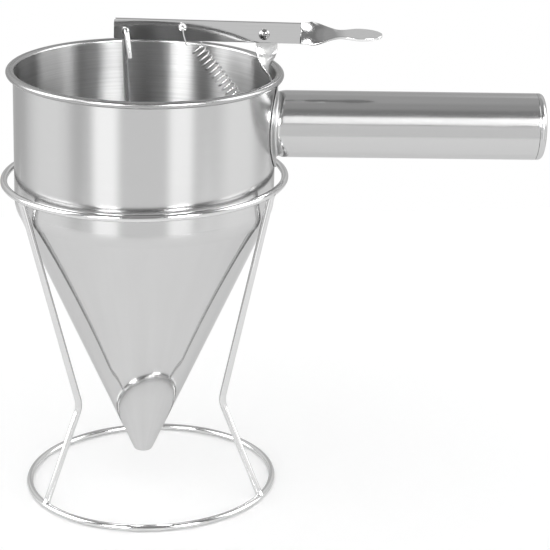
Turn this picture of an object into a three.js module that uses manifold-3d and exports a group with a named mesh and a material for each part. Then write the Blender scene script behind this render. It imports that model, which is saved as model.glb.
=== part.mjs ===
// Sauce dispenser: a hand-held steel funnel with a lever-worked outlet valve, standing in a wire stand.
// Millimetres, +Z up. The origin is on the table at the centre of the stand's base ring.
// +X runs along the handle, so the lever and the valve rod move in the XZ plane.
import * as THREE from 'three';
import { mergeVertices } from 'three/addons/utils/BufferGeometryUtils.js';
import Module from 'manifold-3d';

const wasm = await Module();
wasm.setup();

const toRadians = THREE.MathUtils.degToRad;

// Clearances
const seatGap = 0.3;
const pivotGap = 0.15;
const faceGap = 0.1;
const cutOverrun = 4;

// Wire stand
const standWireRadius = 2;
const baseRingRadius = 72.2;
const topRingFromFunnel = 6;
const topRingHeight = 189;
const legBendFromAxis = 47.5;
const legBendHeight = 58.4;
const legBendingRadius = 14;
const legNames = ['front_left', 'front_right', 'rear'];
const firstLegAzimuth = toRadians(-147.6);

// Funnel shell
const funnelRadius = 74;
const sheetThickness = 0.9;
const coneHalfAngle = toRadians(24.14);
const outletRadius = 4.3;
const outletEdgeRadius = 0.5;
const shoulderRadius = 12;
const cylinderHeight = 76.9;
const rimBeadRadius = 2;
const rimFlareHeight = 4;
const rimCurlEnd = toRadians(-115);
const funnelLean = toRadians(1.5);

// Handle
const handleRadius = 19;
const handleWall = 1.2;
const handleBelowRim = 29.3;
const handleReach = 152.7;
const capThickness = 4.2;
const capEdgeRadius = 2.8;
const capSpigotLength = 9;
const plateThickness = 1;
const plateHalfWidth = 25.2;
const plateHalfHeight = 25.2;
const plateAboveHandle = 0.5;

// Lever, cut and twisted from one strip
const stripThickness = 1.5;
const barHeight = 12;
const barTilt = toRadians(0.78);
const barEndRadius = 1.2;
const pivotFromWall = 7.8;
const pivotAboveRim = 22.75;
const pivotBelowBarCentre = 1.1;
const rodHolePastAxis = 11.2;
const rodHoleBelowBarCentre = 1.15;
const rodHoleRadius = 2.3;
const barEndPastRodHole = 6.35;
const springHoleFromPivot = 45.7;
const springHoleAboveBarCentre = 1.99;
const springHoleRadius = 2;
const twistStartFromPivot = 19.8;
const tabShoulderFromPivot = 27;
const tabNeckFromPivot = 43;
const tabPaddleFromPivot = 53.5;
const tabEndFromPivot = 66.2;
const tabShoulderWidth = 13.9;
const tabNeckWidth = 8.9;
const tabPaddleWidth = 13;
const tabShoulderTwist = toRadians(60);
const tabTwist = toRadians(76);

// Lever post
const postWidth = 12;
const postCentreFromPivot = 1.7;
const postTopAboveBarCentre = 5;
const postTwistTopAboveRim = 18;
const postTwistBottomBelowRim = 3;
const postJoggleTopAboveRim = 6;
const postJoggleBottomBelowRim = 8;
const springTabBelowRim = 32;
const springTabBend = 2.5;
const springTabReach = 9.5;

// Pivot screw, washer and nut
const screwRadius = 1.5;
const screwHeadRadius = 3.1;
const screwHeadHeight = 2.1;
const screwRecessWidth = 0.9;
const screwRecessLength = 3.4;
const screwRecessDepth = 1.2;
const washerRadius = 3.5;
const washerThickness = 0.8;
const nutAcrossFlats = 5.5;
const nutThickness = 2.4;
const screwPastNut = 0.8;

// Valve rod and plug
const rodRadius = 1.5;
const rodHookLegLength = 15.2;
const rodHookSplay = toRadians(4.5);
const rodHookSkew = 0.85;
const plugRadius = 6.5;
const plugTaperLength = 13;
const plugNeckWall = 1;
const plugSocketDepth = 6;

// Return spring
const springWireRadius = 0.5;
const springOuterRadius = 4.25;
const springCoils = 17.25;
const springStartFromHole = 14.55;
const springAxisBelowPull = 1.07;
const springHookLength = 8.8;
const springHookBend = 1.1;
const springHookReach = 3.2;
const springFrontLegLength = 10.4;
const springFrontLegSplay = toRadians(12.2);

// Facet counts
const roundSegments = 64;
const handleSegments = 40;
const smallSegments = 20;
const wireSides = 10;
const bendSteps = 5;
const coilSteps = 8;
const coilSides = 5;
const curlSteps = 9;
const shoulderSteps = 3;

// Heights and reaches in the funnel's own frame, which starts at the outlet
const outletOuterRadius = outletRadius + sheetThickness / Math.cos(coneHalfAngle);
const cornerHeight = (funnelRadius - outletOuterRadius) / Math.tan(coneHalfAngle);
const shoulderHeight = cornerHeight + shoulderRadius * Math.tan(coneHalfAngle / 2);
const rimHeight = cornerHeight + cylinderHeight;
const innerRadius = funnelRadius - sheetThickness;
const topRingRadius = funnelRadius + topRingFromFunnel;
const handleHeight = rimHeight - handleBelowRim;
const handleEndFromAxis = funnelRadius + handleReach;
const pivotHeight = rimHeight + pivotAboveRim;
const pivotFromAxis = funnelRadius - pivotFromWall;
const rodHoleFromPivot = pivotFromAxis + rodHolePastAxis;
const barEndFromPivot = rodHoleFromPivot + barEndPastRodHole;

// Stack along the pivot, from the post outward: the lever is in front of the post, towards -Y
const postFront = -stripThickness / 2;
const washerFront = postFront - faceGap - washerThickness;
const leverCentreY = washerFront - faceGap - stripThickness / 2;
const leverFront = leverCentreY - stripThickness / 2;

// Materials
function steel(color, roughness) {
  return new THREE.MeshStandardMaterial({ color, roughness, metalness: 1 });
}
const polishedSteel = steel(0xd2d4d6, 0.16);
const brushedSteel = steel(0xc4c6c9, 0.3);
const wireSteel = steel(0xdadcde, 0.12);
const springSteel = steel(0xb9bbbe, 0.25);

// Merges shared corners, drops flat triangles and turns the faces outward
function closedBody(source) {
  const bare = source.index ? source : mergeVertices(source);
  for (const name of Object.keys(bare.attributes)) {
    if (name !== 'position') {
      bare.deleteAttribute(name);
    }
  }
  const merged = mergeVertices(bare);
  const corners = merged.attributes.position;
  const index = [];
  const a = new THREE.Vector3();
  const b = new THREE.Vector3();
  const c = new THREE.Vector3();
  let volume = 0;
  for (let i = 0; i < merged.index.count; i += 3) {
    const triangle = [0, 1, 2].map((corner) => merged.index.getX(i + corner));
    if (new Set(triangle).size === 3) {
      index.push(...triangle);
      a.fromBufferAttribute(corners, triangle[0]);
      b.fromBufferAttribute(corners, triangle[1]);
      c.fromBufferAttribute(corners, triangle[2]);
      volume += a.dot(b.cross(c)) / 6;
    }
  }
  merged.setIndex(volume < 0 ? index.reverse() : index);
  return merged;
}

function toManifold(source) {
  const body = closedBody(source);
  return new wasm.Manifold(new wasm.Mesh({
    numProp: 3,
    vertProperties: new Float32Array(body.attributes.position.array),
    triVerts: new Uint32Array(body.index.array),
  }));
}

function fromManifold(manifold) {
  const mesh = manifold.getMesh();
  const body = new THREE.BufferGeometry();
  body.setAttribute('position', new THREE.BufferAttribute(mesh.vertProperties, 3));
  body.setIndex(new THREE.BufferAttribute(mesh.triVerts, 1));
  return body;
}

function cutAway(source, cutters) {
  const cut = cutters.reduce((rest, cutter) => rest.subtract(toManifold(cutter)), toManifold(source));
  return fromManifold(cut);
}

// Revolves an outline of (radius, height) points about the Z axis
function revolve(outline, segments) {
  return closedBody(new THREE.LatheGeometry(outline, segments).rotateX(Math.PI / 2));
}

// The same about an axis that points to the front, for the pieces on the lever's pivot
function revolveForward(outline, segments) {
  return revolve(outline, segments).rotateX(Math.PI / 2);
}

function arcPoints(centreRadius, centreHeight, radius, from, to, steps) {
  return Array.from({ length: steps + 1 }, (_, i) => {
    const angle = THREE.MathUtils.lerp(from, to, i / steps);
    return new THREE.Vector2(
      centreRadius + radius * Math.cos(angle), centreHeight + radius * Math.sin(angle));
  });
}

// Ring of round wire with flats all round, one of them facing straight down
function wireRing(ringRadius, height, wireRadius) {
  const halfStep = Math.PI / wireSides;
  const cornerRadius = wireRadius / Math.cos(halfStep);
  const start = halfStep - Math.PI / 2;
  const outline = arcPoints(ringRadius, height, cornerRadius, start, start + 2 * Math.PI, wireSides);
  return revolve(outline, roundSegments);
}

// Closed skin over a row of rings that all have the same number of points
function skinOver(rings) {
  const sides = rings[0].length;
  const last = (rings.length - 1) * sides;
  const index = [];
  for (let ring = 0; ring < last; ring += sides) {
    for (let side = 0; side < sides; side += 1) {
      const next = (side + 1) % sides;
      index.push(ring + side, ring + next, ring + sides + next);
      index.push(ring + side, ring + sides + next, ring + sides + side);
    }
  }
  for (let side = 1; side < sides - 1; side += 1) {
    index.push(0, side + 1, side, last, last + side, last + side + 1);
  }
  const body = new THREE.BufferGeometry().setFromPoints(rings.flat());
  body.setIndex(index);
  return closedBody(body);
}

// Points of a wire that runs straight between its corners and is bent round at each of them
function bentPath(corners, bendingRadius) {
  const points = [corners[0].clone()];
  for (let i = 1; i < corners.length - 1; i += 1) {
    const back = corners[i - 1].clone().sub(corners[i]).normalize();
    const ahead = corners[i + 1].clone().sub(corners[i]).normalize();
    const halfOpening = back.angleTo(ahead) / 2;
    const centre = back.clone().add(ahead).setLength(bendingRadius / Math.sin(halfOpening)).add(corners[i]);
    const tangent = bendingRadius / Math.tan(halfOpening);
    const from = back.multiplyScalar(tangent).add(corners[i]).sub(centre);
    const to = ahead.multiplyScalar(tangent).add(corners[i]).sub(centre);
    const turn = new THREE.Quaternion().setFromUnitVectors(from.clone().normalize(), to.clone().normalize());
    for (let step = 0; step <= bendSteps; step += 1) {
      const part = new THREE.Quaternion().slerp(turn, step / bendSteps);
      points.push(from.clone().applyQuaternion(part).add(centre));
    }
  }
  points.push(corners.at(-1).clone());
  return points;
}

function directionsAlong(points) {
  return points.map((point, i) => {
    const before = points[Math.max(i - 1, 0)];
    const after = points[Math.min(i + 1, points.length - 1)];
    return after.clone().sub(before).normalize();
  });
}

// Round wire along points, its section carried from one to the next without twisting
function wireAlong(points, radius, sides) {
  const directions = directionsAlong(points);
  const side = new THREE.Vector3(0, 1, 0).cross(directions[0]);
  if (side.length() < Number.EPSILON) {
    side.set(1, 0, 0);
  }
  side.normalize();
  const rings = points.map((point, i) => {
    if (i > 0) {
      side.applyQuaternion(new THREE.Quaternion().setFromUnitVectors(directions[i - 1], directions[i]));
    }
    const other = directions[i].clone().cross(side);
    return Array.from({ length: sides }, (_, k) => {
      const angle = (2 * Math.PI * k) / sides;
      return side.clone().multiplyScalar(radius * Math.cos(angle))
        .addScaledVector(other, radius * Math.sin(angle)).add(point);
    });
  });
  return skinOver(rings);
}

// Flat strip through stations, each with its centre, its width and the direction of its width
function stripAlong(stations) {
  const directions = directionsAlong(stations.map((station) => station.centre));
  return skinOver(stations.map((station, i) => {
    const across = station.across.clone().multiplyScalar(station.width / 2);
    const through = station.across.clone().cross(directions[i]).setLength(stripThickness / 2);
    return [[1, 1], [1, -1], [-1, -1], [-1, 1]].map(([a, t]) => station.centre.clone()
      .addScaledVector(across, a).addScaledVector(through, t));
  }));
}

// Round drill across the strips, along Y
function drill(radius, x, z) {
  const length = 2 * (Math.abs(leverFront) + cutOverrun);
  return new THREE.CylinderGeometry(radius, radius, length, smallSegments).translate(x, 0, z);
}

function piece(name, geometry, material) {
  const mesh = new THREE.Mesh(geometry, material);
  mesh.name = name;
  return mesh;
}

// Wire stand: each leg runs from the centre of the top ring's wire down to that of the base ring,
// and is coped to both, as a welded leg is
const legSlope = Math.atan2(topRingRadius - legBendFromAxis, topRingHeight - legBendHeight);

function standLeg() {
  const path = bentPath([
    new THREE.Vector3(topRingRadius, 0, topRingHeight),
    new THREE.Vector3(legBendFromAxis, 0, legBendHeight),
    new THREE.Vector3(baseRingRadius, 0, standWireRadius),
  ], legBendingRadius);
  const leg = wireAlong(path, standWireRadius, wireSides);
  const copeRadius = standWireRadius + seatGap;
  return cutAway(leg, [
    wireRing(topRingRadius, topRingHeight, copeRadius),
    wireRing(baseRingRadius, standWireRadius, copeRadius),
  ]);
}

function buildStand() {
  const stand = new THREE.Group();
  const rings = [
    piece('stand_base_ring', wireRing(baseRingRadius, standWireRadius, standWireRadius), wireSteel),
    piece('stand_top_ring', wireRing(topRingRadius, topRingHeight, standWireRadius), wireSteel),
  ];
  const legs = legNames.map((place, i) => {
    const leg = piece(`stand_leg_${place}`, standLeg(), wireSteel);
    leg.rotation.z = firstLegAzimuth + (2 * Math.PI * i) / legNames.length;
    return leg;
  });
  stand.add(...rings, ...legs);
  return stand;
}

// Bowl: cylinder with a shoulder at its foot and a rim curled outward over a small flare
function funnelBowl() {
  const shoulderCentre = funnelRadius - shoulderRadius;
  const flareFoot = rimHeight - rimFlareHeight;
  const curlCentre = funnelRadius + rimBeadRadius;
  const outerShoulder = arcPoints(
    shoulderCentre, shoulderHeight, shoulderRadius, -coneHalfAngle, 0, shoulderSteps);
  const innerShoulder = arcPoints(
    shoulderCentre, shoulderHeight, shoulderRadius - sheetThickness, 0, -coneHalfAngle, shoulderSteps);
  const insideCurl = arcPoints(
    curlCentre, rimHeight, rimBeadRadius - sheetThickness, Math.PI, rimCurlEnd, curlSteps);
  const outsideCurl = arcPoints(curlCentre, rimHeight, rimBeadRadius, rimCurlEnd, Math.PI, curlSteps);
  return revolve([
    ...outerShoulder,
    new THREE.Vector2(funnelRadius, flareFoot),
    ...insideCurl,
    ...outsideCurl,
    new THREE.Vector2(innerRadius, flareFoot),
    ...innerShoulder,
    outerShoulder[0],
  ], roundSegments);
}

// Cone: butts against the bowl's shoulder at the weld and narrows to the outlet
function funnelCone() {
  const alongWall = new THREE.Vector2(Math.sin(coneHalfAngle), Math.cos(coneHalfAngle));
  const acrossWall = new THREE.Vector2(-alongWall.y, alongWall.x);
  const shoulderFoot = new THREE.Vector2(funnelRadius - shoulderRadius, shoulderHeight)
    .addScaledVector(acrossWall, -shoulderRadius);
  const topOuter = shoulderFoot.clone().addScaledVector(alongWall, -seatGap);
  const topInner = topOuter.clone().addScaledVector(acrossWall, sheetThickness);
  const lip = outletOuterRadius - outletEdgeRadius;
  const lipRise = outletEdgeRadius * Math.tan(coneHalfAngle);
  return revolve([
    topOuter,
    new THREE.Vector2(outletOuterRadius + lipRise, outletEdgeRadius),
    new THREE.Vector2(lip + outletEdgeRadius * Math.SQRT1_2, outletEdgeRadius * (1 - Math.SQRT1_2)),
    new THREE.Vector2(lip, 0),
    new THREE.Vector2(outletRadius, 0),
    topInner,
    topOuter,
  ], roundSegments);
}

// Upright cylinder that stands in for the funnel's wall or the plate's face when pieces are cut to them
function uprightCylinder(radius) {
  const height = 2 * (plateHalfHeight + handleRadius + cutOverrun);
  return new THREE.CylinderGeometry(radius, radius, height, roundSegments)
    .rotateX(Math.PI / 2).rotateZ(Math.PI / roundSegments).translate(0, 0, handleHeight);
}

const plateInnerRadius = funnelRadius + seatGap;
const plateOuterRadius = plateInnerRadius + plateThickness;

// Oval saddle plate, bent round the cylinder
function handlePlate() {
  const oval = new THREE.Shape().absellipse(0, 0, plateHalfHeight, plateHalfWidth, 0, 2 * Math.PI);
  const block = new THREE.ExtrudeGeometry(oval, {
    depth: plateOuterRadius + cutOverrun,
    bevelEnabled: false,
    curveSegments: handleSegments,
  });
  block.rotateY(Math.PI / 2).translate(0, 0, handleHeight + plateAboveHandle);
  const shell = toManifold(uprightCylinder(plateOuterRadius))
    .subtract(toManifold(uprightCylinder(plateInnerRadius)));
  return fromManifold(shell.intersect(toManifold(block)));
}

// Revolves an outline of (radius, distance from the funnel's axis) points about the handle's axis
function revolveAlongHandle(outline) {
  return closedBody(new THREE.LatheGeometry(outline, handleSegments)
    .rotateZ(-Math.PI / 2).translate(0, 0, handleHeight));
}

const handleTubeEnd = handleEndFromAxis - capThickness;

// Handle tube, coped to the saddle plate
function handleTube() {
  const start = funnelRadius - handleRadius;
  const inner = handleRadius - handleWall;
  const tube = revolveAlongHandle([
    new THREE.Vector2(inner, start),
    new THREE.Vector2(handleRadius, start),
    new THREE.Vector2(handleRadius, handleTubeEnd - seatGap),
    new THREE.Vector2(inner, handleTubeEnd - seatGap),
    new THREE.Vector2(inner, start),
  ]);
  return cutAway(tube, [uprightCylinder(plateOuterRadius + seatGap)]);
}

// Pressed cap with a hollow spigot that plugs the tube
function handleEndCap() {
  const spigotRadius = handleRadius - handleWall - seatGap;
  const spigotInner = spigotRadius - handleWall;
  const spigotStart = handleTubeEnd - capSpigotLength;
  const faceRadius = handleRadius - capEdgeRadius;
  const roundedEdge = arcPoints(
    faceRadius, handleEndFromAxis - capEdgeRadius, capEdgeRadius, 0, Math.PI / 2, bendSteps);
  return revolveAlongHandle([
    new THREE.Vector2(0, handleTubeEnd),
    new THREE.Vector2(spigotInner, handleTubeEnd),
    new THREE.Vector2(spigotInner, spigotStart),
    new THREE.Vector2(spigotRadius, spigotStart),
    new THREE.Vector2(spigotRadius, handleTubeEnd),
    new THREE.Vector2(handleRadius, handleTubeEnd),
    ...roundedEdge,
    new THREE.Vector2(0, handleEndFromAxis),
  ]);
}

const smooth = (value, from, to) => THREE.MathUtils.smoothstep(value, from, to);
const blend = THREE.MathUtils.lerp;

// The post's foot lies flat against the wall, and its tab's hole is half way along the tab
const postFootX = Math.sqrt(innerRadius ** 2 - (postWidth / 2) ** 2) - seatGap - stripThickness / 2;
const springAnchorX = postFootX - springTabReach / 2;

// Post: upright strip behind the lever, twisted a quarter turn and joggled outward to lie on the wall,
// with its foot bent inward as a tab that holds the spring
function leverPost() {
  const topX = pivotFromAxis + postCentreFromPivot;
  const topZ = pivotHeight + pivotBelowBarCentre + postTopAboveBarCentre;
  const twistTop = rimHeight + postTwistTopAboveRim;
  const twistBottom = rimHeight - postTwistBottomBelowRim;
  const joggleTop = rimHeight + postJoggleTopAboveRim;
  const joggleBottom = rimHeight - postJoggleBottomBelowRim;
  const tabHeight = rimHeight - springTabBelowRim;
  const stations = [{ centre: new THREE.Vector3(topX, 0, topZ), turn: 0 }];
  const steps = 3 * bendSteps;
  for (let i = 0; i <= steps; i += 1) {
    const z = blend(twistTop, joggleBottom, i / steps);
    const outward = 1 - smooth(z, joggleBottom, joggleTop);
    const twisted = 1 - smooth(z, twistBottom, twistTop);
    stations.push({
      centre: new THREE.Vector3(blend(topX, postFootX, outward), 0, z),
      turn: (twisted * Math.PI) / 2,
    });
  }
  const foot = bentPath([
    new THREE.Vector3(postFootX, 0, joggleBottom),
    new THREE.Vector3(postFootX, 0, tabHeight),
    new THREE.Vector3(postFootX - springTabReach, 0, tabHeight),
  ], springTabBend);
  for (const centre of foot.slice(1)) {
    stations.push({ centre, turn: Math.PI / 2 });
  }
  const strip = stripAlong(stations.map(({ centre, turn }) => ({
    centre,
    width: postWidth,
    across: new THREE.Vector3(Math.cos(turn), Math.sin(turn), 0),
  })));
  const tabDrill = new THREE.CylinderGeometry(springHoleRadius, springHoleRadius, cutOverrun, smallSegments)
    .rotateX(Math.PI / 2).translate(springAnchorX, 0, tabHeight);
  return cutAway(strip, [drill(screwRadius + pivotGap, pivotFromAxis, pivotHeight), tabDrill]);
}

// Lever, in a frame that starts at its pivot: +X towards the thumb tab
function lever() {
  const centreZ = pivotBelowBarCentre;
  const station = (x, width, twist) => ({
    centre: new THREE.Vector3(x, 0, centreZ),
    width,
    across: new THREE.Vector3(0, Math.sin(twist), Math.cos(twist)),
  });
  const stations = [];
  for (let i = 0; i <= bendSteps; i += 1) {
    const angle = (Math.PI / 2) * (i / bendSteps);
    const x = -barEndFromPivot + barEndRadius * (1 - Math.cos(angle));
    stations.push(station(x, barHeight - 2 * barEndRadius * (1 - Math.sin(angle)), 0));
  }
  const shoulderSpan = 8;
  for (let i = 0; i <= shoulderSpan; i += 1) {
    const x = blend(twistStartFromPivot, tabShoulderFromPivot, i / shoulderSpan);
    const done = smooth(i, 0, shoulderSpan);
    const widened = smooth(i, shoulderSpan / 2, shoulderSpan);
    stations.push(station(x, blend(barHeight, tabShoulderWidth, widened), tabShoulderTwist * done));
  }
  const neckSpan = 6;
  for (let i = 1; i <= neckSpan; i += 1) {
    const x = blend(tabShoulderFromPivot, tabNeckFromPivot, i / neckSpan);
    const done = smooth(i, 0, neckSpan);
    stations.push(station(
      x, blend(tabShoulderWidth, tabNeckWidth, done), blend(tabShoulderTwist, tabTwist, done)));
  }
  const paddleSpan = 4;
  for (let i = 1; i <= paddleSpan; i += 1) {
    const x = blend(tabNeckFromPivot, tabPaddleFromPivot, i / paddleSpan);
    stations.push(station(x, blend(tabNeckWidth, tabPaddleWidth, smooth(i, 0, paddleSpan)), tabTwist));
  }
  const endSpan = 7;
  for (let i = 1; i < endSpan; i += 1) {
    const angle = (Math.PI / 2) * (i / endSpan);
    const x = blend(tabPaddleFromPivot, tabEndFromPivot, Math.sin(angle));
    stations.push(station(x, tabPaddleWidth * Math.cos(angle), tabTwist));
  }
  return cutAway(stripAlong(stations), [
    drill(screwRadius + pivotGap, 0, 0),
    drill(rodHoleRadius, -rodHoleFromPivot, centreZ - rodHoleBelowBarCentre),
    drill(springHoleRadius, -springHoleFromPivot, centreZ + springHoleAboveBarCentre),
  ]);
}

// Pan-head screw with a cross recess: its shank runs through the lever, the washer, the post and the nut
function pivotScrew() {
  const headBack = Math.abs(leverFront) + faceGap;
  const domeRadius = (screwHeadRadius ** 2 + screwHeadHeight ** 2) / (2 * screwHeadHeight);
  const domeCentre = headBack + screwHeadHeight - domeRadius;
  const domeFrom = Math.asin((headBack - domeCentre) / domeRadius);
  const dome = arcPoints(0, domeCentre, domeRadius, domeFrom, Math.PI / 2, bendSteps);
  const shankEnd = -(stripThickness / 2 + faceGap + nutThickness + screwPastNut);
  const screw = revolveForward([
    new THREE.Vector2(0, shankEnd),
    new THREE.Vector2(screwRadius, shankEnd),
    new THREE.Vector2(screwRadius, headBack),
    ...dome,
  ], smallSegments);
  const depthCentre = -(headBack + screwHeadHeight - screwRecessDepth + cutOverrun / 2);
  const slots = [0, Math.PI / 2].map((turn) => new THREE.BoxGeometry(
    screwRecessLength, cutOverrun, screwRecessWidth)
    .rotateY(turn + Math.PI / 5).translate(0, depthCentre, 0));
  return cutAway(screw, slots);
}

function pivotWasher() {
  const back = Math.abs(postFront) + faceGap;
  const hole = screwRadius + pivotGap;
  return revolveForward([
    new THREE.Vector2(hole, back),
    new THREE.Vector2(washerRadius, back),
    new THREE.Vector2(washerRadius, back + washerThickness),
    new THREE.Vector2(hole, back + washerThickness),
    new THREE.Vector2(hole, back),
  ], smallSegments);
}

function pivotNut() {
  const cornerRadius = nutAcrossFlats / Math.sqrt(3);
  const y = stripThickness / 2 + faceGap + nutThickness / 2;
  const blank = new THREE.CylinderGeometry(cornerRadius, cornerRadius, nutThickness, 6).translate(0, y, 0);
  return cutAway(blank, [drill(screwRadius + pivotGap, 0, 0)]);
}

// Turns a point of the lever's XZ plane into the funnel's frame
function fromLever(x, z) {
  return new THREE.Vector3(x, 0, z).applyAxisAngle(new THREE.Vector3(0, 1, 0), barTilt)
    .add(new THREE.Vector3(pivotFromAxis, 0, pivotHeight));
}

const rodHole = fromLever(-rodHoleFromPivot, pivotBelowBarCentre - rodHoleBelowBarCentre);
const springHole = fromLever(-springHoleFromPivot, pivotBelowBarCentre + springHoleAboveBarCentre);

// The ball-shaped plug rests in the cone, so its centre lies where its skin just clears the wall
const plugHeight = (plugRadius + seatGap - outletRadius * Math.cos(coneHalfAngle)) / Math.sin(coneHalfAngle);
const rodLength = Math.hypot(rodHole.x, rodHole.z - plugHeight);
const rodTilt = Math.atan2(rodHole.x, rodHole.z - plugHeight);
const rodSocketRadius = rodRadius + seatGap;

// Rod, in a frame that starts at the plug's centre: hooked through the lever from behind, a little askew
function valveRod() {
  const frontY = 2 * leverCentreY;
  const hookBend = Math.abs(leverCentreY);
  const path = bentPath([
    new THREE.Vector3(0, 0, plugTaperLength - plugSocketDepth + seatGap),
    new THREE.Vector3(-rodHookSkew, 0, rodLength),
    new THREE.Vector3(rodHookSkew, frontY, rodLength),
    new THREE.Vector3(
      rodHookSkew + rodHookLegLength * Math.sin(rodHookSplay),
      frontY,
      rodLength - rodHookLegLength * Math.cos(rodHookSplay)),
  ], hookBend * Math.cos(rodHookSplay / 2));
  return wireAlong(path, rodRadius, wireSides);
}

// Plug: ball below, tapering above to a neck with a socket for the rod
function valvePlug() {
  const neckRadius = rodSocketRadius + plugNeckWall;
  const ball = arcPoints(0, 0, plugRadius, -Math.PI / 2, Math.asin(neckRadius / plugRadius), 3 * bendSteps);
  const socketFloor = plugTaperLength - plugSocketDepth;
  return revolve([
    ...ball,
    new THREE.Vector2(neckRadius, plugTaperLength),
    new THREE.Vector2(rodSocketRadius, plugTaperLength),
    new THREE.Vector2(rodSocketRadius, socketFloor),
    new THREE.Vector2(0, socketFloor),
  ], smallSegments);
}

// Least distance between two stretches of a wire's skin that lie more than half a coil apart
function leastGapToItself(points, wireRadius) {
  let least = Infinity;
  for (let i = 0; i < points.length; i += 1) {
    for (let j = i + coilSteps / 2 + 1; j < points.length; j += 1) {
      least = Math.min(least, points[i].distanceTo(points[j]) - 2 * wireRadius);
    }
  }
  return least;
}

// Extension spring: hooked through the lever from behind, coiled along a straight line to the post's
// tab, and hooked through that from above
function returnSpring() {
  const coilRadius = springOuterRadius - springWireRadius;
  const wireClear = stripThickness / 2 + seatGap + springWireRadius;
  const anchor = new THREE.Vector3(springAnchorX, 0, rimHeight - springTabBelowRim);
  const hole = new THREE.Vector3(springHole.x, leverCentreY, springHole.z);
  const along = new THREE.Vector3(anchor.x - hole.x, 0, anchor.z - hole.z).normalize();
  const up = new THREE.Vector3(-along.z, 0, along.x);
  const back = new THREE.Vector3(0, 1, 0);
  const start = new THREE.Vector3(hole.x, 0, hole.z)
    .addScaledVector(along, springStartFromHole).addScaledVector(up, -springAxisBelowPull);
  const end = anchor.clone()
    .addScaledVector(along, -springHookLength).addScaledVector(up, -springAxisBelowPull);
  const behind = hole.clone().setY(leverCentreY + wireClear);
  const front = hole.clone().setY(leverCentreY - wireClear);
  const frontFoot = front.clone().add(new THREE.Vector3(
    springFrontLegLength * Math.sin(springFrontLegSplay),
    0,
    -springFrontLegLength * Math.cos(springFrontLegSplay)));
  const frontTip = frontFoot.clone().add(new THREE.Vector3(springHookReach / 2, springHookReach / 2, 0));
  const coil = Array.from({ length: Math.round(springCoils * coilSteps) + 1 }, (_, i) => {
    const angle = Math.PI / 2 + (2 * Math.PI * i) / coilSteps;
    return start.clone().lerp(end, i / (springCoils * coilSteps))
      .addScaledVector(up, coilRadius * Math.sin(angle)).addScaledVector(back, coilRadius * Math.cos(angle));
  });
  const upperHook = bentPath([frontTip, frontFoot, front, behind, coil[0], coil[1]], springHookBend);
  const underTab = new THREE.Vector3(anchor.x, 0, anchor.z - stripThickness / 2 - springHookReach);
  const lowerHook = bentPath([
    coil.at(-1),
    end.clone().addScaledVector(along, springHookReach / 2),
    anchor.clone().add(new THREE.Vector3(0, 0, springHookReach)),
    underTab,
    underTab.clone().add(new THREE.Vector3(-springHookReach, 0, springWireRadius)),
  ], springHookBend);
  const route = [...upperHook, ...coil.slice(2), ...lowerHook.slice(1)];
  console.log(`return spring: least gap to itself ${leastGapToItself(coil, springWireRadius).toFixed(2)} mm`);
  return wireAlong(route, springWireRadius, coilSides);
}

function buildPivot() {
  const pivot = new THREE.Group();
  pivot.position.set(pivotFromAxis, 0, pivotHeight);
  pivot.add(
    piece('pivot_screw', pivotScrew(), wireSteel),
    piece('pivot_washer', pivotWasher(), wireSteel),
    piece('pivot_nut', pivotNut(), wireSteel),
  );
  return pivot;
}

function buildLever() {
  const group = new THREE.Group();
  group.position.set(pivotFromAxis, leverCentreY, pivotHeight);
  group.rotation.y = barTilt;
  group.add(piece('lever', lever(), brushedSteel));
  return group;
}

function buildValve() {
  const valve = new THREE.Group();
  valve.position.z = plugHeight;
  valve.rotation.y = rodTilt;
  valve.add(piece('valve_rod', valveRod(), wireSteel), piece('valve_plug', valvePlug(), polishedSteel));
  return valve;
}

// Funnel, sunk between the legs until its shoulder seats on them, and leaning to its handle's side
function buildFunnel() {
  const funnel = new THREE.Group();
  const legReach = funnelRadius - shoulderRadius
    + (shoulderRadius + standWireRadius + seatGap) / Math.cos(legSlope);
  const seatHeight = topRingHeight - (topRingRadius - legReach) / Math.tan(legSlope);
  const seatShift = -(funnelRadius - shoulderRadius) * Math.sin(funnelLean) * Math.tan(legSlope);
  funnel.rotation.y = funnelLean;
  funnel.position.set(
    seatShift - shoulderHeight * Math.sin(funnelLean), 0, seatHeight - shoulderHeight * Math.cos(funnelLean));
  funnel.add(
    piece('funnel_bowl', funnelBowl(), brushedSteel),
    piece('funnel_cone', funnelCone(), polishedSteel),
    piece('handle_plate', handlePlate(), polishedSteel),
    piece('handle_tube', handleTube(), polishedSteel),
    piece('handle_end_cap', handleEndCap(), polishedSteel),
    piece('lever_post', leverPost(), brushedSteel),
    buildPivot(),
    buildLever(),
    buildValve(),
    piece('return_spring', returnSpring(), springSteel),
  );
  return funnel;
}

const dispenser = new THREE.Group();
dispenser.add(buildStand(), buildFunnel());

export default dispenser;
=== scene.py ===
from math import acos, asin, atan2, cos, dist, hypot, pi, radians, sin, sqrt, tan

import bmesh
import bpy
import numpy as np
from mathutils import Matrix, Vector


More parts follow.
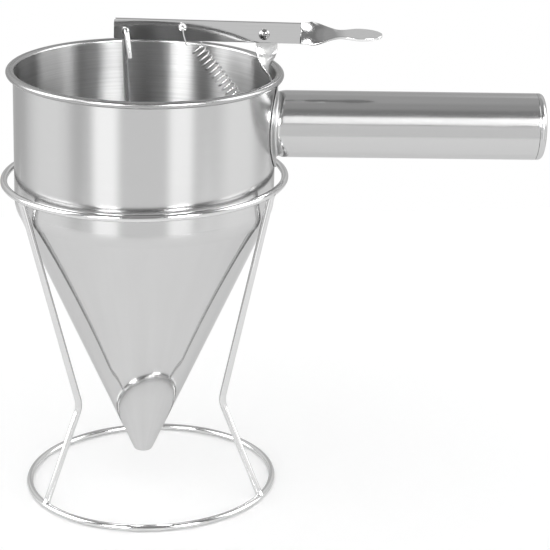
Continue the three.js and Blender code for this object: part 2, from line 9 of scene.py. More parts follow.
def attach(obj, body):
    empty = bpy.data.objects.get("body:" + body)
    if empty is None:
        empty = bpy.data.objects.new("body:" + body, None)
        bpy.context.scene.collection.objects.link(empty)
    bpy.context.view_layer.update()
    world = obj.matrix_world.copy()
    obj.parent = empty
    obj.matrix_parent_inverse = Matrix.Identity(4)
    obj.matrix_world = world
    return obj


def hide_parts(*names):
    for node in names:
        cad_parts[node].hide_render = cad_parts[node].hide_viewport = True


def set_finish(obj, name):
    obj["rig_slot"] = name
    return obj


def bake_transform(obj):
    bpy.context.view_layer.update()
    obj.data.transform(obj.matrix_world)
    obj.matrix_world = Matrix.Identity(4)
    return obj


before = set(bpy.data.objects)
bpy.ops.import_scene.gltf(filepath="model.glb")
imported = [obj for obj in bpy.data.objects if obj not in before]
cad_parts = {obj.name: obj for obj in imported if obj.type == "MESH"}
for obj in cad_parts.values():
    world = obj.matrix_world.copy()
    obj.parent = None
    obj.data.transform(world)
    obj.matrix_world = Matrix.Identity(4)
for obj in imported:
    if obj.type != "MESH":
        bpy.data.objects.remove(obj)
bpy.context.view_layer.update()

MM = 0.001
UP = np.array((0.0, 0.0, 1.0))
ACROSS = np.array((0.0, 1.0, 0.0))
QUARTER = pi / 2
TURN = 2 * pi
scene = bpy.context.scene

# Sizes in millimetres: the stand
WIRE_RADIUS = 2.0
BASE_RING_RADIUS = 72.2
TOP_RING_RADIUS = 80.0
TOP_RING_HEIGHT = 189.0
LEG_BEND_FROM_AXIS = 47.5
LEG_BEND_HEIGHT = 58.4
LEG_BENDING_RADIUS = 14.0
LEG_END_ROUND = 0.8
LEG_NAMES = ("front_left", "front_right", "rear")
FIRST_LEG_AZIMUTH = radians(-147.6)
WELD_START, WELD_LENGTH = 0.4, 3.6
WELD_SWELL, WELD_TAPER, WELD_RIPPLE = 0.32, 0.12, 0.06

# The funnel
FUNNEL_RADIUS = 74.0
SHEET = 0.9
CONE_HALF_ANGLE = radians(24.14)
OUTLET_RADIUS = 4.3
SHOULDER_RADIUS = 20.0
CYLINDER_HEIGHT = 76.9
BEAD_RADIUS = 2.0
CURL_END = radians(-115)
FUNNEL_LEAN = 0.02617994
FUNNEL_PLACE = (-4.4846, 0.0, 20.0474)
# The outlet's worn edge: distance inside the outer wall or outside the bore, and height
OUTLET_OUTER_EDGE = ((0.02, 0.18), (0.22, 0.03), (0.4, 0.0))
OUTLET_INNER_EDGE = ((0.12, 0.0), (0.02, 0.1))

# The handle, with its saddle plate and its end cap
HANDLE_RADIUS = 19.0
HANDLE_WALL = 1.2
HANDLE_BELOW_RIM = 29.3
HANDLE_END = 226.7
ROOT_ROUND, ROOT_DROP, ROOT_SINK, FILLET = 5.5, 0.75, 0.1, 1.1
TUBE_EDGE, TUBE_INNER_LENGTH = 0.28, 20.0
CAP_THICKNESS = 4.2
CAP_EDGE = 2.8
CAP_SPIGOT_LENGTH, CAP_SPIGOT_CLEARANCE, CAP_GAP, CAP_SIDE_START = 8.0, 0.3, 0.1, 0.4
# The fine groove between tube and cap: distance below the surface, and distance from the tube's end
TUBE_LIP = ((0.08, 0.08), (0.3, 0.02))
CAP_LIP = ((0.3, 0.12), (0.08, 0.18), (0.0, 0.35))
PLATE_INNER = FUNNEL_RADIUS
PLATE_OUTER = FUNNEL_RADIUS + 0.85
PLATE_EDGE = 0.3
PLATE_BACK, PLATE_BACK_CORNER = 0.12, 0.28
PLATE_HALF_WIDTH = 25.2
PLATE_HALF_HEIGHT = 25.2
PLATE_MEAN_HALF = 25.0
PLATE_ABOVE_HANDLE = 0.5
SEAT_GAP = 0.3

# The lever
STRIP = 1.5
STRIP_EDGE = 0.3
BAR_HEIGHT = 11.95
BAR_TILT = radians(0.78)
BAR_ROLL = radians(-4.3)
BAR_END_RADIUS = 1.2
PIVOT_FROM_AXIS = 66.2
PIVOT_ABOVE_RIM = 22.75
BAR_CENTRE = 1.1
# Holes: place along the bar and above the pivot, and radius
PIVOT_HOLE = (0.0, 0.0, 1.65)
ROD_HOLE = (-77.4, -1.15 + BAR_CENTRE, 1.9)
SPRING_HOLE = (-45.7, 1.99 + BAR_CENTRE, 2.0)
DEBURRING = 0.3
CUTTER_OVERRUN = 1.0
BAR_END = 83.75
TWIST_START = 20.15
CREASE_END, CREASE_TWIST = 20.6, radians(14.5)
# The thumb tab's twist: distance from the pivot, and how fast it turns there before scaling to TAB_TWIST
TWIST_RATES = ((20.6, 2.0), (22.5, 2.6), (25.0, 3.1), (30.0, 3.1),
               (33.0, 3.0), (36.0, 2.4), (39.5, 2.8), (43.0, 0.0))
TAB_SHOULDER = 27.0
TAB_NECK = 43.0
TAB_PADDLE = 53.5
TAB_END = 66.2
SHOULDER_WIDTH, NECK_WIDTH, PADDLE_WIDTH = 13.9, 8.9, 13.0
TAB_TWIST = radians(76)
LEVER_Y = -2.5

# The post
POST_WIDTH = 12.0
POST_FROM_PIVOT = 1.7
POST_TOP = 5.0
TWIST_ABOVE_RIM, TWIST_BELOW_RIM = 18.0, 3.0
JOGGLE_ABOVE_RIM, JOGGLE_BELOW_RIM = 6.0, 8.0
SPRING_TAB_BELOW_RIM = 32.0
SPRING_TAB_BEND = 2.5
SPRING_TAB_REACH = 9.5
SPRING_TAB_HOLE = 2.0

# The pivot's screw, washer and nut
FACE_GAP = 0.1
SCREW_RADIUS, SCREW_CHAMFER, SCREW_PAST_NUT = 1.5, 0.3, 0.8
HEAD_RADIUS, HEAD_HEIGHT, HEAD_RIM, HEAD_EDGE, HEAD_CORNER = 3.05, 1.75, 0.35, 0.15, 0.2
RECESS_REACH, RECESS_HALF_WIDTH, RECESS_DEPTH, RECESS_TURN = 1.95, 0.5, 1.45, radians(36)
# The recess widens upwards: height over its floor, and shares of its reach and its width there
RECESS_TAPER = ((0, 0.45, 0.55), (4, 1.525, 1.5))
WASHER_HOLE, WASHER_RADIUS, WASHER_THICKNESS, WASHER_EDGE = 1.65, 3.5, 0.8, 0.1
NUT_THICKNESS, NUT_FLATS, NUT_BORE, NUT_CHAMFER = 2.4, 5.5, 1.65, 0.35
NUT_FACE_SHARE = 0.92

# The valve
ROD_RADIUS, ROD_END_ROUND = 1.5, 0.3
HOOK_LEG, HOOK_SPLAY, HOOK_SKEW, HOOK_LEAN, HOOK_LIFT = 15.2, radians(4.5), 0.85, 3.8, 0.4
PLUG_RADIUS, PLUG_TAPER, PLUG_SOCKET = 6.5, 13.0, 6.0
PLUG_WALL, PLUG_NECK_LENGTH, PLUG_EDGE, SOCKET_CLEARANCE = 1.0, 3.0, 0.3, 0.1

# The return spring
SPRING_WIRE, SPRING_OUTER, COILS = 0.5, 4.25, 17.25
SPRING_BEND, SPRING_END_ROUND = 1.1, 0.15
COIL_FROM_HOLE, COIL_FROM_ANCHOR, COIL_OFF_LINE = 14.55, 8.8, 1.07
HOOK_FRONT, FRONT_SPLAY = 10.4, radians(12.2)
HOOK_BEND, BEND_SPLAY = 5.2, 0.12
HOOK_TIP = np.array((1.6, 1.2, 0.3))
LOWER_HOOK_LEAD, LOWER_HOOK_HEIGHT = 1.6, 3.2
LOWER_HOOK_TIP = np.array((-3.2, 0, 0.5))

# What follows from these sizes
OUTLET_OUTER = OUTLET_RADIUS + SHEET / cos(CONE_HALF_ANGLE)
CORNER_HEIGHT = (FUNNEL_RADIUS - OUTLET_OUTER) / tan(CONE_HALF_ANGLE)
SHOULDER_HEIGHT = CORNER_HEIGHT + SHOULDER_RADIUS * tan(CONE_HALF_ANGLE / 2)
SHOULDER_CENTRE = (FUNNEL_RADIUS - SHOULDER_RADIUS, SHOULDER_HEIGHT)
RIM_HEIGHT = CORNER_HEIGHT + CYLINDER_HEIGHT
INNER_RADIUS = FUNNEL_RADIUS - SHEET
CURL_CENTRE = (INNER_RADIUS + FUNNEL_RADIUS + 2 * BEAD_RADIUS) / 2
CURL_REACH = CURL_CENTRE - INNER_RADIUS
HANDLE_HEIGHT = RIM_HEIGHT - HANDLE_BELOW_RIM
TUBE_END = HANDLE_END - CAP_THICKNESS
PIVOT_HEIGHT = RIM_HEIGHT + PIVOT_ABOVE_RIM
POST_FOOT = sqrt(INNER_RADIUS ** 2 - (POST_WIDTH / 2) ** 2) - SEAT_GAP - STRIP / 2
SPRING_TAB_HEIGHT = RIM_HEIGHT - SPRING_TAB_BELOW_RIM
SPRING_ANCHOR = POST_FOOT - SPRING_TAB_REACH / 2
HEAD_BACK = -(LEVER_Y - STRIP / 2) + FACE_GAP
POST_FACE = STRIP / 2 + FACE_GAP

# Where things are. FORWARD turns a lathe's axis to the front, and PIN has it along the pivot.
FUNNEL = Matrix.Translation(FUNNEL_PLACE) @ Matrix.Rotation(FUNNEL_LEAN, 4, "Y")
PIVOT = FUNNEL @ Matrix.Translation((PIVOT_FROM_AXIS, 0, PIVOT_HEIGHT))
LEVER = PIVOT @ Matrix.Translation((0, LEVER_Y, 0)) @ Matrix.Rotation(BAR_TILT, 4, "Y")
HANDLE = FUNNEL @ Matrix.Translation((0, 0, HANDLE_HEIGHT)) @ Matrix.Rotation(QUARTER, 4, "Y")
FORWARD = Matrix.Rotation(QUARTER, 4, "X")
PIN = PIVOT @ FORWARD

# How finely the meshes are made
LATHE_FINE, LATHE_HANDLE, LATHE_SMALL = 512, 256, 96
WIRE_RING_STEPS, WIRE_RING_SIDES = 360, 40
LEG_SIDES = 36
WELD_RINGS, WELD_SIDES = 13, 32
PLATE_SIDES = 256
HANDLE_SIDES = 192
NUT_SIDES = 48
COIL_STEPS = 48
FACE_COLUMNS = 12
EDGE_STEPS = 4
ON_AXIS = 1e-6


def smooth(value, low, high):
    """Eased share of the way from low to high."""
    share = min(max((value - low) / (high - low), 0.0), 1.0)
    return share * share * (3 - 2 * share)


def mix(a, b, share):
    return a + (b - a) * share


def unit(vector):
    return vector / np.linalg.norm(vector)


def arc(centre, radius, start, end, steps):
    return [(centre[0] + radius * cos(a), centre[1] + radius * sin(a))
            for a in np.linspace(start, end, steps + 1)]


def make_mesh(name, points, faces, uvs=None, place=None, sharp=35):
    """Smooth-shaded object from points in millimetres, moved by place. uvs has a pair per face corner."""
    mesh = bpy.data.meshes.new(name)
    mesh.from_pydata([tuple(p) for p in np.asarray(points, float)], [], [tuple(f) for f in faces])
    if uvs is not None:
        layer = mesh.uv_layers.new(name="surface")
        layer.data.foreach_set("uv", np.asarray(uvs, np.float32).ravel())
    mesh.transform(Matrix.Scale(MM, 4) @ (place or Matrix.Identity(4)))
    mesh.update()
    mesh.shade_smooth()
    mesh.set_sharp_from_angle(angle=radians(sharp))
    obj = bpy.data.objects.new(name, mesh)
    scene.collection.objects.link(obj)
    return obj


def grid_faces(rows, columns, closed_rows=False):
    """Quads over rows of closed rings of points, with each corner's row and column for its uv pair."""
    faces, corners = [], []
    for i in range(rows if closed_rows else rows - 1):
        for j in range(columns):
            quad = ((i, j), (i, j + 1), (i + 1, j + 1), (i + 1, j))
            faces.append([(row % rows) * columns + column % columns for row, column in quad])
            corners.extend(quad)
    return faces, corners


def end_caps(rows, columns):
    """The two faces that close the first and the last ring of a grid."""
    return list(range(columns))[::-1], list(range((rows - 1) * columns, rows * columns))


def lathe(name, outline, segments, place=None, closed=True, sharp=35):
    """Revolves (radius, height) points about Z. Points on the axis close the shape there."""
    outline = [tuple(map(float, p)) for p in outline]
    steps = np.cumsum([0.0] + [dist(a, b) for a, b in zip(outline, outline[1:] + outline[:1])])
    points, index = [], []
    for radius, height in outline:
        if radius < ON_AXIS:
            index.append([len(points)] * segments)
            points.append((0.0, 0.0, height))
            continue
        index.append(list(range(len(points), len(points) + segments)))
        for k in range(segments):
            angle = QUARTER + TURN * k / segments
            points.append((radius * cos(angle), radius * sin(angle), height))
    faces, uvs = [], []
    reach = max(radius for radius, _ in outline)
    rows = len(outline)
    for i in range(rows if closed else rows - 1):
        low, high = index[i], index[(i + 1) % rows]
        for k in range(segments):
            n = (k + 1) % segments
            ring = [(low[k], k, i), (low[n], k + 1, i), (high[n], k + 1, i + 1), (high[k], k, i + 1)]
            face = {}
            for vertex, around, along in ring:
                face.setdefault(vertex, (TURN * reach * around / segments, steps[along]))
            if len(face) > 2:
                faces.append(list(face))
                uvs.extend(face.values())
    return make_mesh(name, points, faces, uvs, place, sharp)


def bent_path(corners, radius, steps=14):
    """Points of a wire that runs straight between its corners and bends at each of them."""
    corners = [np.asarray(c, float) for c in corners]
    points = [corners[0]]
    for before, corner, after in zip(corners, corners[1:], corners[2:]):
        back, ahead = unit(before - corner), unit(after - corner)
        half = acos(max(-1.0, min(1.0, float(back @ ahead)))) / 2
        centre = corner + unit(back + ahead) * radius / sin(half)
        tangent = radius / tan(half)
        start, end = corner + back * tangent - centre, corner + ahead * tangent - centre
        whole = pi - 2 * half
        for i in range(steps + 1):
            a = whole * i / steps
            points.append(centre + (start * sin(whole - a) + end * sin(a)) / sin(whole))
    points.append(corners[-1])
    return np.array(points)


def frames_along(points):
    """Unit direction and two carried-over cross directions at each point of a path."""
    ahead = np.gradient(np.asarray(points, float), axis=0)
    ahead /= np.linalg.norm(ahead, axis=1)[:, None]
    across = ACROSS if abs(ahead[0] @ ACROSS) < 0.9 else UP
    side = unit(np.cross(across, ahead[0]))
    sides = []
    for direction in ahead:
        side = unit(side - direction * (side @ direction))
        sides.append(side)
    sides = np.array(sides)
    return ahead, sides, np.cross(ahead, sides)


def ring_round(centre, side, other, radius, angles):
    """Points round a centre in the plane of two directions. radius is one number, or one for each angle."""
    radii = np.broadcast_to(radius, angles.shape)[:, None]
    return centre + radii * (np.cos(angles)[:, None] * side + np.sin(angles)[:, None] * other)


def wire(name, points, radius, sides=28, place=None, end_round=0.35):
    """Round wire along points, with rounded cut ends."""
    points = np.asarray(points, float)
    ahead, side, other = frames_along(points)
    bends = [QUARTER * k / EDGE_STEPS for k in range(EDGE_STEPS + 1)]
    ends = [(end_round * (1 - cos(a)), radius - end_round + end_round * sin(a)) for a in bends]
    stations = [(points[0] + ahead[0] * inset, 0, end_radius) for inset, end_radius in ends]
    stations += [(points[i], i, radius) for i in range(1, len(points) - 1)]
    stations += [(points[-1] - ahead[-1] * inset, -1, end_radius) for inset, end_radius in reversed(ends)]
    angles = np.linspace(0, TURN, sides, endpoint=False)
    rings = [ring_round(centre, side[i], other[i], r, angles) for centre, i, r in stations]
    lengths = np.cumsum([0.0] + [np.linalg.norm(b[0] - a[0]) for a, b in zip(stations, stations[1:])])
    faces, corners = grid_faces(len(rings), sides)
    uvs = [(TURN * radius * j / sides, lengths[i]) for i, j in corners]
    verts = np.concatenate(rings)
    first, last = len(verts), len(verts) + 1
    base = (len(rings) - 1) * sides
    for j in range(sides):
        n = (j + 1) % sides
        faces.append([first, n, j])
        faces.append([last, base + j, base + n])
        uvs.extend([(0, 0), (1, 0), (0, 1)] * 2)
    return make_mesh(name, np.vstack([verts, points[0], points[-1]]), faces, uvs, place, 50)


def strip_section():
    """Section of a strip: corner signs across and through, and the rounded edge's direction there."""
    section = []
    for corner, (across, through) in enumerate(((1, 1), (-1, 1), (-1, -1), (1, -1))):
        for k in range(EDGE_STEPS + 1):
            a = QUARTER * (corner + k / EDGE_STEPS)
            section.append((across, through, cos(a), sin(a)))
        if corner in (0, 2):
            section += [(across * (1 - 2 * k / FACE_COLUMNS), through, 0.0, through)
                        for k in range(1, FACE_COLUMNS)]
    return section


def strip(name, stations, place=None):
    """Flat strip with rounded edges through (centre, width, across direction) stations."""
    least_reach, uv_half_width = 0.02, 6
    centres = np.array([centre for centre, _, _ in stations], float)
    ahead, _, _ = frames_along(centres)
    section = strip_section()
    sides = len(section)
    rings = []
    for direction, (centre, width, across) in zip(ahead, stations):
        across = np.asarray(across, float)
        through = unit(np.cross(across, direction))
        reach = max(width / 2 - STRIP_EDGE, least_reach)
        depth = STRIP / 2 - STRIP_EDGE
        rings.append([
            centre + across * (a * reach + STRIP_EDGE * da) + through * (t * depth + STRIP_EDGE * dt)
            for a, t, da, dt in section])
    lengths = np.cumsum([0.0] + [np.linalg.norm(b - a) for a, b in zip(centres, centres[1:])])
    across_uv = [a * uv_half_width + da for a, _, da, _ in section]
    faces, corners = grid_faces(len(rings), sides)
    uvs = [(lengths[i], across_uv[j % sides]) for i, j in corners]
    for length, cap in zip((lengths[0], lengths[-1]), end_caps(len(rings), sides)):
        faces.append(cap)
        uvs.extend((length, across_uv[corner % sides]) for corner in cap)
    return make_mesh(name, np.array(rings).reshape(-1, 3), faces, uvs, place, 40)


def outward(obj):
    """Turns the faces outward."""
    work = bmesh.new()
    work.from_mesh(obj.data)
    bmesh.ops.recalc_face_normals(work, faces=work.faces)
    work.to_mesh(obj.data)
    work.free()
    return obj


def cut(obj, cutters, sharp=40):
    """Cuts closed bodies away from obj and deletes them."""
    outward(obj)
    for cutter in cutters:
        outward(cutter)
        step = obj.modifiers.new("cut", "BOOLEAN")
        step.operation = "DIFFERENCE"
        step.solver = "EXACT"
        step.object = cutter
        graph = bpy.context.evaluated_depsgraph_get()
        cut_mesh = bpy.data.meshes.new_from_object(obj.evaluated_get(graph))
        obj.modifiers.clear()
        obj.data = cut_mesh
        bpy.data.objects.remove(cutter)
    obj.data.shade_smooth()
    obj.data.set_sharp_from_angle(angle=radians(sharp))


def deburred_drill(hole, place):
    """Cutter for a round hole through a strip, flared at both faces by the deburring."""
    x, z, radius = hole
    half_depth = STRIP / 2
    reach, flare = half_depth + CUTTER_OVERRUN, radius + DEBURRING + CUTTER_OVERRUN
    side = [(radius + DEBURRING * (1 - cos(a)), half_depth - DEBURRING + DEBURRING * sin(a))
            for a in np.linspace(0, QUARTER, 5)]
    outline = [(0, -reach), (flare, -reach)]
    outline += [(r, -h) for r, h in reversed(side)] + side
    outline += [(flare, reach), (0, reach)]
    return lathe("drill", outline, 64, place @ Matrix.Translation((x, 0, z)) @ FORWARD, closed=False)


def flat_normals(obj):
    """Keeps flat faces flat in the shading, beside rounded edges."""
    step = obj.modifiers.new("normals", "WEIGHTED_NORMAL")
    step.mode = "FACE_AREA"
    step.weight = 100
    step.keep_sharp = True


pieces = {}


def keep(obj, body, slot, *nodes):
    outward(obj)
    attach(obj, body)
    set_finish(obj, slot)
    if nodes:
        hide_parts(*nodes)
    pieces[obj.name] = obj
    return obj


# Stand
def make_ring(name, ring_radius, height, node):
    outline = arc((ring_radius, height), WIRE_RADIUS, 0, TURN, WIRE_RING_SIDES)[:-1]
    keep(lathe(name, outline, WIRE_RING_STEPS), "stand", "wire_steel", node)


def make_leg_weld(name, line, number, place):
    """Rippled sleeve of weld metal where a leg meets a ring, on the first stretch of line."""
    ring_step, side_step = 0.3, 0.4
    down = unit(line[1] - line[0])
    start = line[0] + down * WELD_START
    spots = [start + down * t for t in np.linspace(0, WELD_LENGTH, WELD_RINGS)]
    _, side, other = frames_along(spots)
    angles = np.linspace(0, TURN, WELD_SIDES, endpoint=False)
    rings = []
    for k, spot in enumerate(spots):
        share = k / (WELD_RINGS - 1)
        swell = WIRE_RADIUS + WELD_SWELL * (1 - share) ** 2 - WELD_TAPER * smooth(share, 0.8, 1)
        rippled = swell + WELD_RIPPLE * np.sin(3 * angles + 1.3 * number) * (1 - share)
        rings.append(ring_round(spot, side[k], other[k], rippled, angles))
    faces, corners = grid_faces(WELD_RINGS, WELD_SIDES)
    uvs = [(j * side_step, i * ring_step) for i, j in corners]
    for cap in end_caps(WELD_RINGS, WELD_SIDES):
        faces.append(cap)
        uvs.extend([(0, 0)] * WELD_SIDES)
    keep(make_mesh(name, np.concatenate(rings), faces, uvs, place, 50), "stand", "wire_steel")


def make_legs():
    line = bent_path([
        (TOP_RING_RADIUS, 0, TOP_RING_HEIGHT),
        (LEG_BEND_FROM_AXIS, 0, LEG_BEND_HEIGHT),
        (BASE_RING_RADIUS, 0, WIRE_RADIUS),
    ], LEG_BENDING_RADIUS, 24)
    for number, place_name in enumerate(LEG_NAMES):
        place = Matrix.Rotation(FIRST_LEG_AZIMUTH + TURN * number / len(LEG_NAMES), 4, "Z")
        leg = wire("leg_wire_" + place_name, line, WIRE_RADIUS, LEG_SIDES, place, LEG_END_ROUND)
        keep(leg, "stand", "wire_steel", "stand_leg_" + place_name)
        make_leg_weld("leg_weld_top_" + place_name, line[:2], number, place)
        make_leg_weld("leg_weld_foot_" + place_name, line[:-3:-1], number, place)


# Bowl and cone
def curl(inset, start, end, steps):
    """Points of the rim's oval roll, inset from its outside."""
    across, upright = CURL_REACH - inset, BEAD_RADIUS - inset
    return [(CURL_CENTRE + across * cos(a), RIM_HEIGHT + upright * sin(a))
            for a in np.linspace(start, end, steps + 1)]


def make_bowl():
    wall = np.linspace(SHOULDER_HEIGHT, RIM_HEIGHT, 24)[1:-1]
    outer = arc(SHOULDER_CENTRE, SHOULDER_RADIUS, -CONE_HALF_ANGLE, 0, 16)
    outer += [(FUNNEL_RADIUS, height) for height in wall]
    lip_middle = curl(SHEET / 2, CURL_END, CURL_END, 1)[0]
    lip = arc(lip_middle, SHEET / 2, CURL_END + pi, CURL_END + TURN, 8)[1:-1]
    rim = curl(SHEET, pi, CURL_END, 36) + lip + curl(0, CURL_END, pi, 48)
    inner = [(INNER_RADIUS, height) for height in wall[::-1]]
    inner += arc(SHOULDER_CENTRE, SHOULDER_RADIUS - SHEET, 0, -CONE_HALF_ANGLE, 16)
    shell = lathe("bowl_shell", outer + rim + inner, LATHE_FINE, FUNNEL, sharp=50)
    return keep(shell, "funnel", "bowl_steel", "funnel_bowl")


def make_cone():
    wall_steps, outer_end_share, inner_start_share = 60, 0.992, 0.006
    inward = np.array((-cos(CONE_HALF_ANGLE), sin(CONE_HALF_ANGLE)))
    top_outer = np.array(SHOULDER_CENTRE) - inward * SHOULDER_RADIUS
    top_inner = top_outer + inward * SHEET
    tip_outer = np.array((OUTLET_OUTER, 0.0))
    tip_inner = np.array((OUTLET_RADIUS, 0.0))
    outline = [tuple(mix(top_outer, tip_outer, t)) for t in np.linspace(0, outer_end_share, wall_steps)]
    outline += [(OUTLET_OUTER - inset, height) for inset, height in OUTLET_OUTER_EDGE]
    outline += [(OUTLET_RADIUS + off, height) for off, height in OUTLET_INNER_EDGE]
    outline += [tuple(mix(tip_inner, top_inner, t)) for t in np.linspace(inner_start_share, 1, wall_steps)]
    shell = lathe("cone_shell", outline, LATHE_FINE, FUNNEL, sharp=50)
    return keep(shell, "funnel", "polished_steel", "funnel_cone")


# Handle
def saddle(radius, across, height):
    """Point on an upright cylinder, at a distance round it and a height from the plate's middle."""
    angle = across / PLATE_OUTER
    return (radius * cos(angle), radius * sin(angle), HANDLE_HEIGHT + PLATE_ABOVE_HANDLE + height)


def make_plate():
    """Oval saddle plate. Its profile has shares of the way to the edge, and radii from the funnel's axis."""
    hole_share, flat_share, back_share, edge_start, uv_radius = 0.62, 0.97, 0.985, 0.1, 22
    across_reach = PLATE_OUTER * asin(PLATE_HALF_WIDTH / PLATE_OUTER)
    profile = [(share, PLATE_OUTER) for share in np.linspace(hole_share, flat_share, 10)]
    edge_share = PLATE_EDGE / PLATE_MEAN_HALF
    profile += [(1 - edge_share * (1 - sin(a)), PLATE_OUTER - PLATE_EDGE * (1 - cos(a)))
                for a in np.linspace(edge_start, QUARTER, 6)]
    profile += [(1.0, PLATE_INNER + PLATE_BACK_CORNER)]
    profile += [(back_share, PLATE_INNER + PLATE_BACK), (hole_share, PLATE_INNER + PLATE_BACK)]
    around = np.linspace(0, TURN, PLATE_SIDES, endpoint=False)
    points = [saddle(radius, share * across_reach * sin(a), share * PLATE_HALF_HEIGHT * cos(a))
              for share, radius in profile for a in around]
    faces, corners = grid_faces(len(profile), PLATE_SIDES, closed_rows=True)
    uvs = [(around[j % PLATE_SIDES] * uv_radius, i) for i, j in corners]
    plate = make_mesh("saddle_plate", points, faces, uvs, FUNNEL, 50)
    return keep(plate, "funnel", "polished_steel", "handle_plate")


def plate_face(y):
    """The x of the saddle plate's face at y."""
    return sqrt(PLATE_OUTER ** 2 - y ** 2)


def handle_ring(radius, reach):
    """Ring of points about the handle's axis. reach gives their x for their y."""
    ring = []
    for j in range(HANDLE_SIDES):
        a = TURN * j / HANDLE_SIDES
        y = radius * sin(a)
        ring.append((reach(y), y, HANDLE_HEIGHT + radius * cos(a)))
    return ring


def make_tube():
    """Handle tube: a fillet of weld on the plate, a slightly drawn-in root, the barrel and its open end."""
    root_radius = HANDLE_RADIUS - ROOT_DROP
    root = [(root_radius + FILLET, -ROOT_SINK)]
    root += [(root_radius + FILLET * (1 - sin(a)), FILLET * (1 - cos(a)))
             for a in np.linspace(0.05, QUARTER - 0.08, 12)]
    root += [(HANDLE_RADIUS - ROOT_DROP * (1 - t) ** 2, mix(FILLET, ROOT_ROUND, t))
             for t in np.linspace(0.03, 1, 16)]
    end = [(HANDLE_RADIUS - inset, TUBE_END - off) for inset, off in TUBE_LIP]
    end += [(HANDLE_RADIUS - HANDLE_WALL, TUBE_END - TUBE_LIP[-1][1])]
    end += [(HANDLE_RADIUS - HANDLE_WALL, TUBE_END - TUBE_INNER_LENGTH)]
    points = []
    for radius, off in root:
        points += handle_ring(radius, lambda y: plate_face(y) + off)
    barrel_end = TUBE_END - TUBE_EDGE
    for t in np.linspace(0.04, 1, 24):
        points += handle_ring(HANDLE_RADIUS, lambda y: mix(plate_face(y) + ROOT_ROUND, barrel_end, t))
    for radius, x in end:
        points += handle_ring(radius, lambda y: x)
    faces, corners = grid_faces(len(points) // HANDLE_SIDES, HANDLE_SIDES)
    girth = 119.4
    uvs = [(points[i * HANDLE_SIDES][0], j / HANDLE_SIDES * girth) for i, j in corners]
    tube = make_mesh("handle_shell", points, faces, uvs, FUNNEL, 50)
    return keep(tube, "funnel", "polished_steel", "handle_tube")


def make_cap():
    spigot = HANDLE_RADIUS - HANDLE_WALL - CAP_SPIGOT_CLEARANCE
    face_radius = HANDLE_RADIUS - CAP_EDGE
    side_start, side_end = TUBE_END + CAP_SIDE_START, HANDLE_END - CAP_EDGE
    outline = [(0, TUBE_END - CAP_SPIGOT_LENGTH), (spigot, TUBE_END - CAP_SPIGOT_LENGTH)]
    outline += [(spigot, TUBE_END + CAP_GAP)]
    outline += [(HANDLE_RADIUS - inset, TUBE_END + off) for inset, off in CAP_LIP]
    outline += [(HANDLE_RADIUS, mix(side_start, side_end, t)) for t in (0.3, 0.7)]
    outline += arc((face_radius, side_end), CAP_EDGE, 0, QUARTER, 20)
    outline += [(mix(face_radius, 0, t), HANDLE_END) for t in (0.2, 0.5, 0.8)]
    outline += [(0, HANDLE_END)]
    cap = lathe("handle_cap", outline, LATHE_HANDLE, HANDLE, closed=False, sharp=50)
    keep(cap, "funnel", "polished_steel", "handle_end_cap")


# Post and lever
def make_post():
    """Strip behind the lever, twisted a quarter turn and joggled out to the wall, with a tab below."""
    top_x, top_z = PIVOT_FROM_AXIS + POST_FROM_PIVOT, PIVOT_HEIGHT + BAR_CENTRE + POST_TOP
    twist_top, twist_foot = RIM_HEIGHT + TWIST_ABOVE_RIM, RIM_HEIGHT - TWIST_BELOW_RIM
    joggle_top, joggle_foot = RIM_HEIGHT + JOGGLE_ABOVE_RIM, RIM_HEIGHT - JOGGLE_BELOW_RIM
    line = [((top_x, 0, mix(top_z, twist_top, t)), 0.0) for t in np.linspace(0, 1, 9)]
    for z in np.linspace(twist_top, joggle_foot, 61)[1:]:
        joggled = 1 - smooth(z, joggle_foot, joggle_top)
        twisted = 1 - smooth(z, twist_foot, twist_top)
        line.append(((mix(top_x, POST_FOOT, joggled), 0, z), twisted * QUARTER))
    foot = bent_path([
        (POST_FOOT, 0, joggle_foot),
        (POST_FOOT, 0, SPRING_TAB_HEIGHT),
        (POST_FOOT - SPRING_TAB_REACH, 0, SPRING_TAB_HEIGHT),
    ], SPRING_TAB_BEND)
    line += [(point, QUARTER) for point in foot[1:]]
    stations = [(np.array(centre), POST_WIDTH, (cos(a), sin(a), 0)) for centre, a in line]
    post = strip("post_strip", stations, FUNNEL)
    pivot_drill = deburred_drill((PIVOT_FROM_AXIS, PIVOT_HEIGHT, PIVOT_HOLE[2]), FUNNEL)
    hole, reach = SPRING_TAB_HOLE, 3
    outline = [(0, -reach), (hole, -reach), (hole, reach), (0, reach)]
    place = FUNNEL @ Matrix.Translation((SPRING_ANCHOR, 0, SPRING_TAB_HEIGHT))
    tab_drill = lathe("drill", outline, 48, place, closed=False)
    cut(post, [pivot_drill, tab_drill])
    return keep(post, "funnel", "lever_steel", "lever_post")


def bar_stations():
    """Stations (x, width, twist) of the lever's straight bar, from its rounded end to the crease."""
    stations = []
    for a in np.linspace(0, QUARTER, 8):
        x = -BAR_END + BAR_END_RADIUS * (1 - cos(a))
        stations.append((x, BAR_HEIGHT - 2 * BAR_END_RADIUS * (1 - sin(a)), BAR_ROLL))
    for x in np.linspace(-BAR_END + BAR_END_RADIUS, TWIST_START, 40)[1:-1]:
        stations.append((x, BAR_HEIGHT, BAR_ROLL))
    for t in np.linspace(0, 1, 6)[:-1]:
        stations.append((mix(TWIST_START, CREASE_END, t), BAR_HEIGHT, mix(BAR_ROLL, CREASE_TWIST, t)))
    return stations


